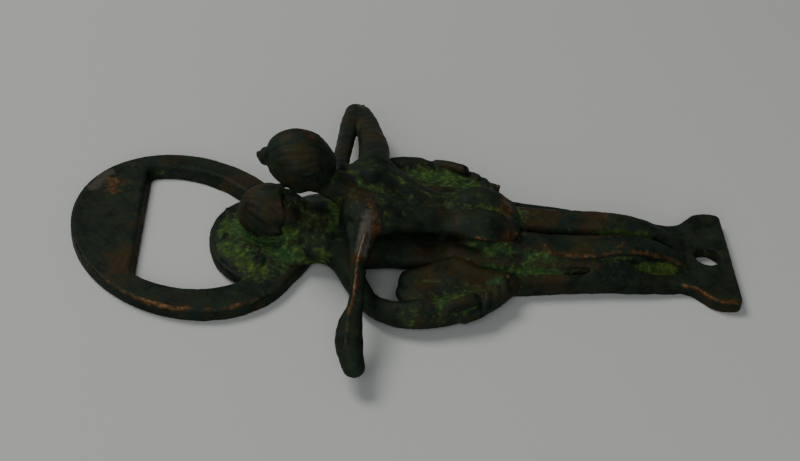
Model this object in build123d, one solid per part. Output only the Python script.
"""Figural bottle opener in cast bronze: hoop opener, two stylised figures, two side bars and key-ring plate.

Frame: origin under the middle of the object on the surface it lies on, +X towards the key-ring plate, +Z up.
Left is +Y and right is -Y. All lengths are in millimetres.
"""
import os

from build123d import *

# ---------------------------------------------------------------- driving dimensions
overall_length = 130.0
flat_thickness = 2.8            # hoop and key-ring plate
tail_x = overall_length / 2     # straight edge of the key-ring plate
nose_x = -overall_length / 2    # round end of the hoop

# hoop: two ellipses a little out of square, as modelled by hand; each is centre, half axes, lean from +X
hoop_outside = ((nose_x + 22.58, -0.1), (25.0, 21.3), 125.0)
hoop_inside = ((nose_x + 21.5, 0.8), (19.5, 16.3), 130.0)
lip_x = -51.2                   # straight lip that catches under the cap
lip_bevel = 1.0                 # on top
lip_break = 0.4                 # underneath
edge_round = 0.5
rail_end_x = -20.5

# key-ring plate and side bars
plate_half_width = 13.6
neck_half_width = 9.0
plate_start_x = 41.0
flare_start_x = 54.0
flare_end_x = 59.8
plate_corner_round = 1.0
ring_hole_x = 60.3
ring_hole_radius = 2.6
bar_height = 4.1
bar_width = 2.5
bar_outer = [(15.0, 13.4), (27.0, 11.9), (39.0, 10.5), (49.0, 9.8)]     # (x, y) along the outer face

# lower figure: trunk stations are (x, middle z, half width, half height), limb joints are (x, y, z, radius)
lower_head_centre = (-27.0, 0.0, 7.6)
lower_head_half_length = 6.9
lower_head_radius = 5.3
head_pitch = 26.0               # both heads: chin end down, in degrees
hair_disc_centre = (-27.6, -1.6)
hair_disc_size = (10.3, 12.9)
hair_disc_height = 2.9
lower_chest_stations = [(-24, 3.6, 6.6, 3.4), (-17, 4.5, 8.9, 4.5), (-12, 4.6, 9.9, 4.6), (-5, 4.0, 8.8, 3.8)]
lower_belly_stations = [(-5, 4.0, 8.8, 3.8), (3, 3.5, 7.0, 3.2), (13, 3.6, 8.6, 3.2)]
lower_upper_arm_joints = [(-12.6, 7.0, 4.4, 3.2), (-10.4, 12.2, 3.4, 2.5), (-6.3, 20.2, 2.8, 2.1)]
lower_forearm_joints = [(-6.3, 20.2, 2.8, 2.1), (-2.6, 22.3, 2.9, 2.4), (4.0, 22.2, 3.0, 2.7)]
hand_centre = (8.6, 16.2)
hand_size = (9.0, 6.8)
hand_base = 0.4
hand_height = 5.6
hand_round = 2.2
finger_joints = [(13, 18.2, 2.9, 2.3), (18.6, 15.2, 3.2, 2.0)]
lower_thigh_joints = [(10, 5.6, 3.9, 3.1), (22, 7.0, 3.8, 2.6), (33, 7.2, 3.5, 2.2), (46, 6.7, 3.2, 2.1)]

# upper figure, in the same terms
upper_head_centre = (-21.7, 0.0, 20.3)
upper_head_half_length = 6.4
upper_head_radius = 5.6
bun_centre = (-27.8, 0, 21.4)
bun_radius = 1.9
neck_joints = [(-17.6, 0, 17.3, 2.9), (-11.0, 0, 13.8, 3.4)]
upper_back_stations = [(-12.6, 13.3, 7.8, 2.3), (-6, 13.3, 11.2, 2), (0, 11.8, 8.4, 2), (7, 9.9, 5.8, 2)]
upper_chest_stations = [(-13, 10.0, 6.0, 2.8), (-8, 9.8, 6.2, 2.8), (-3.5, 9.6, 4.6, 2.4)]
upper_hips_stations = [(7, 9.9, 5.8, 2.0), (14.5, 10.0, 7.8, 2.6), (20.9, 8.6, 5.3, 1.9)]
left_arm_joints = [(-7, 9, 13.2, 2.8), (-6.6, 17, 11.3, 2.7), (-7.3, 26, 8.9, 2.3), (-9.3, 38.9, 5.4, 2)]
left_forearm_joints = [(-13.6, 5.5, 13.6, 1.8), (-13.0, 20, 10.4, 1.7), (-9.8, 38.2, 5.6, 1.8)]
right_arm_joints = [(-7.2, -7.5, 13.4, 2.6), (-9.6, -19, 10.5, 1.5), (-10.0, -28, 8.4, 1.4)]
right_paddle_joints = [(-10, -28, 8.4, 1.4), (-10.9, -31.5, 7.3, 2.3), (-10.7, -35.5, 6, 2.45), (-9.9, -38.9, 4.9, 2)]
right_forearm_joints = [(-12.4, -1.5, 13.4, 1.6), (-11.3, -9, 12.3, 1.2), (-10.3, -18, 10.4, 1), (-10.3, -29, 7.6, 1.2)]
ankle = (46, 3.1, 6.0, 2.3)
leg_joints = [(20, 3.9, 6.6, 2.7), (33, 3.9, 6.0, 2.6), ankle]
foot_joints = [ankle, (52.5, 2.6, 3.3, 1.5)]


# ---------------------------------------------------------------- shape helpers
def egg(centre, half_length, radius, pitch=0.0):
    """Egg of revolution, long along X and turned by pitch degrees about Y."""
    with BuildLine() as profile:
        EllipticalCenterArc((0, 0), half_length, radius, start_angle=0, arc_size=180)
        Line((-half_length, 0), (half_length, 0))
    return Pos(*centre) * Rot(0, pitch, 0) * revolve(make_face(profile.line.edges()), Axis.X)


def limb(joints):
    """Round limb through a list of (x, y, z, radius): balls joined by tapered rods."""
    body = None
    for start, end in zip(joints, joints[1:]):
        run = Vector(*end[:3]) - Vector(*start[:3])
        axis = Plane(origin=start[:3], z_dir=run)
        from_start = (Align.CENTER, Align.CENTER, Align.MIN)
        if start[3] == end[3]:
            rod = Cylinder(start[3], run.length, align=from_start)
        else:
            rod = Cone(start[3], end[3], run.length, align=from_start)
        piece = axis * rod + Pos(*start[:3]) * Sphere(start[3]) + Pos(*end[:3]) * Sphere(end[3])
        body = piece if body is None else body + piece
    return body


def mirrored(joints, side):
    """The same chain of joints on the left (side 1) or the right (side -1)."""
    return [(x, side * y, z, r) for x, y, z, r in joints]


def body_loft(stations):
    """Loft along X through (x, z middle, half width, half height) oval sections."""
    sections = []
    for x, z, half_width, half_height in stations:
        plane = Plane(origin=(x, 0, z), x_dir=(0, 1, 0), z_dir=(1, 0, 0))
        sections.append(plane * Ellipse(half_width, half_height))
    return loft(sections)


def slab(outline, height, base=0.0):
    """Flat sheet of an outline, from base upwards."""
    return extrude(Pos(0, 0, base) * outline, amount=height)


def keep_x(low, high):
    """Block that spans everything between two X stations."""
    size = 4 * overall_length
    return Pos((low + high) / 2, 0, 0) * Box(high - low, size, size)


def biggest(shape):
    """Largest solid of a cut shape, so that a node is one clean solid."""
    return max(shape.solids(), key=lambda solid: solid.volume)


# ---------------------------------------------------------------- hoop
def leaning_oval(centre, half_axes, lean):
    return Pos(*centre) * Rot(0, 0, lean) * Ellipse(*half_axes)


def cap_lip_plate():
    """Crescent at the nose, with its straight lip across the opening: bevelled on top, broken underneath."""
    sheet = slab(leaning_oval(*hoop_outside), flat_thickness) & keep_x(nose_x - 5, lip_x)
    under, over = sheet.edges().filter_by(Axis.Y).group_by(Axis.X)[-1].sort_by(Axis.Z)
    sheet = chamfer(over, lip_bevel)
    under = sheet.edges().filter_by(Axis.Y).group_by(Axis.Z)[0].sort_by(Axis.X)[-1]
    return chamfer(under, lip_break)


def hoop_rail(side):
    """One side rail of the hoop, from the lip to the lower figure's shoulder."""
    opening = slab(leaning_oval(*hoop_inside), flat_thickness)
    ring = slab(leaning_oval(*hoop_outside), flat_thickness) - opening
    half = Pos(0, side * overall_length / 2, 0) * Box(4 * overall_length, overall_length, overall_length)
    return ring & half & keep_x(lip_x, rail_end_x)


# ---------------------------------------------------------------- key-ring plate and bars
def end_plate():
    """Flat tail that flares out to a square end, with the key-ring hole through it."""
    neck_start = (plate_start_x, -neck_half_width)
    flare_start = (flare_start_x, -neck_half_width)
    flare_end = (flare_end_x, -plate_half_width)
    with BuildLine() as edge:
        Line((plate_start_x, 0), neck_start)
        Line(neck_start, flare_start)
        Spline(flare_start, flare_end, tangents=[(1, 0), (1, -0.25)])
        Line(flare_end, (tail_x, -plate_half_width))
        Line((tail_x, -plate_half_width), (tail_x, 0))
        mirror(about=Plane.XZ)
    sheet = slab(make_face(edge.line.edges()), flat_thickness)
    sheet = fillet(sheet.edges().filter_by(Axis.Z).group_by(Axis.X)[-1], plate_corner_round)
    hole = Pos(ring_hole_x, 0, 0) * Cylinder(ring_hole_radius, 4 * flat_thickness)
    return sheet - hole


def side_bar(side):
    """Flattened bar from the hand to the key-ring plate, with its outer edges rounded."""
    inner = [(x, y - bar_width) for x, y in reversed(bar_outer)]
    with BuildLine() as edge:
        Spline(*bar_outer)
        Line(bar_outer[-1], inner[0])
        Spline(*inner)
        Line(inner[-1], bar_outer[0])
    bar = slab(make_face(edge.line.edges()), bar_height)
    bar = fillet(bar.faces().sort_by(Axis.Z)[-1].edges(), edge_round)
    return bar if side > 0 else mirror(bar, about=Plane.XZ)


# ---------------------------------------------------------------- lower figure
def hair_disc():
    disc = slab(Pos(*hair_disc_centre) * Ellipse(*hair_disc_size), hair_disc_height)
    return fillet(disc.faces().sort_by(Axis.Z)[-1].edges(), edge_round * 2)


def lower_head():
    return egg(lower_head_centre, lower_head_half_length, lower_head_radius, head_pitch)


def lower_hand(side):
    """Broad open hand laid on the hip, its fingers on the side bar."""
    palm = slab(Pos(hand_centre[0], side * hand_centre[1], 0) * Ellipse(*hand_size), hand_height, hand_base)
    palm = fillet(palm.edges(), hand_round)
    return palm + limb(mirrored(finger_joints, side))


# ---------------------------------------------------------------- upper figure
def upper_head():
    return egg(upper_head_centre, upper_head_half_length, upper_head_radius, head_pitch)


def upper_bun():
    return Pos(*bun_centre) * Rot(0, -90, 0) * Sphere(bun_radius)


# ---------------------------------------------------------------- cut the sections to meet, and write them
def sections():
    """Each casting section in turn; a later one gives way to those before it."""
    sides = [("left", 1), ("right", -1)]
    yield "cap_lip_plate", cap_lip_plate()
    for name, side in sides:
        yield f"hoop_rail_{name}", hoop_rail(side)
    yield "end_plate", end_plate()
    for name, side in sides:
        yield f"side_bar_{name}", side_bar(side)
    yield "lower_chest", body_loft(lower_chest_stations)
    yield "lower_hair_disc", hair_disc()
    yield "lower_head", lower_head()
    yield "lower_belly", body_loft(lower_belly_stations)
    for name, side in sides:
        arm = limb(mirrored(lower_upper_arm_joints, side)) + limb(mirrored(lower_forearm_joints, side))
        yield f"lower_arm_{name}", arm
        yield f"lower_hand_{name}", lower_hand(side)
        yield f"lower_thigh_{name}", limb(mirrored(lower_thigh_joints, side))
    yield "upper_back", body_loft(upper_back_stations)
    yield "upper_chest", body_loft(upper_chest_stations)
    yield "upper_hips", body_loft(upper_hips_stations)
    yield "upper_neck", limb(neck_joints)
    yield "upper_head", upper_head()
    yield "upper_bun", upper_bun()
    yield "upper_arm_left", limb(left_arm_joints)
    yield "upper_forearm_left", limb(left_forearm_joints)
    yield "upper_arm_right", limb(right_arm_joints) + limb(right_paddle_joints)
    yield "upper_forearm_right", limb(right_forearm_joints)
    for name, side in sides:
        yield f"upper_leg_{name}", limb(mirrored(leg_joints, side))
        yield f"upper_foot_{name}", limb(mirrored(foot_joints, side))


def overlaps(box_a, box_b):
    """True where two bounding boxes meet."""
    low = (max(box_a.min.X, box_b.min.X), max(box_a.min.Y, box_b.min.Y), max(box_a.min.Z, box_b.min.Z))
    high = (min(box_a.max.X, box_b.max.X), min(box_a.max.Y, box_b.max.Y), min(box_a.max.Z, box_b.max.Z))
    return all(a < b for a, b in zip(low, high))


os.makedirs("parts", exist_ok=True)
above_ground = Pos(0, 0, 50) * Box(400, 400, 100)
done = {}
for node, shape in sections():
    shape = shape & above_ground
    for other in done.values():
        if overlaps(shape.bounding_box(), other.bounding_box()):
            shape = shape - other
    done[node] = biggest(shape)
for node, solid in done.items():
    solid.label = node
    export_step(solid, os.path.join("parts", f"{node}.step"))
print(len(done), "nodes")
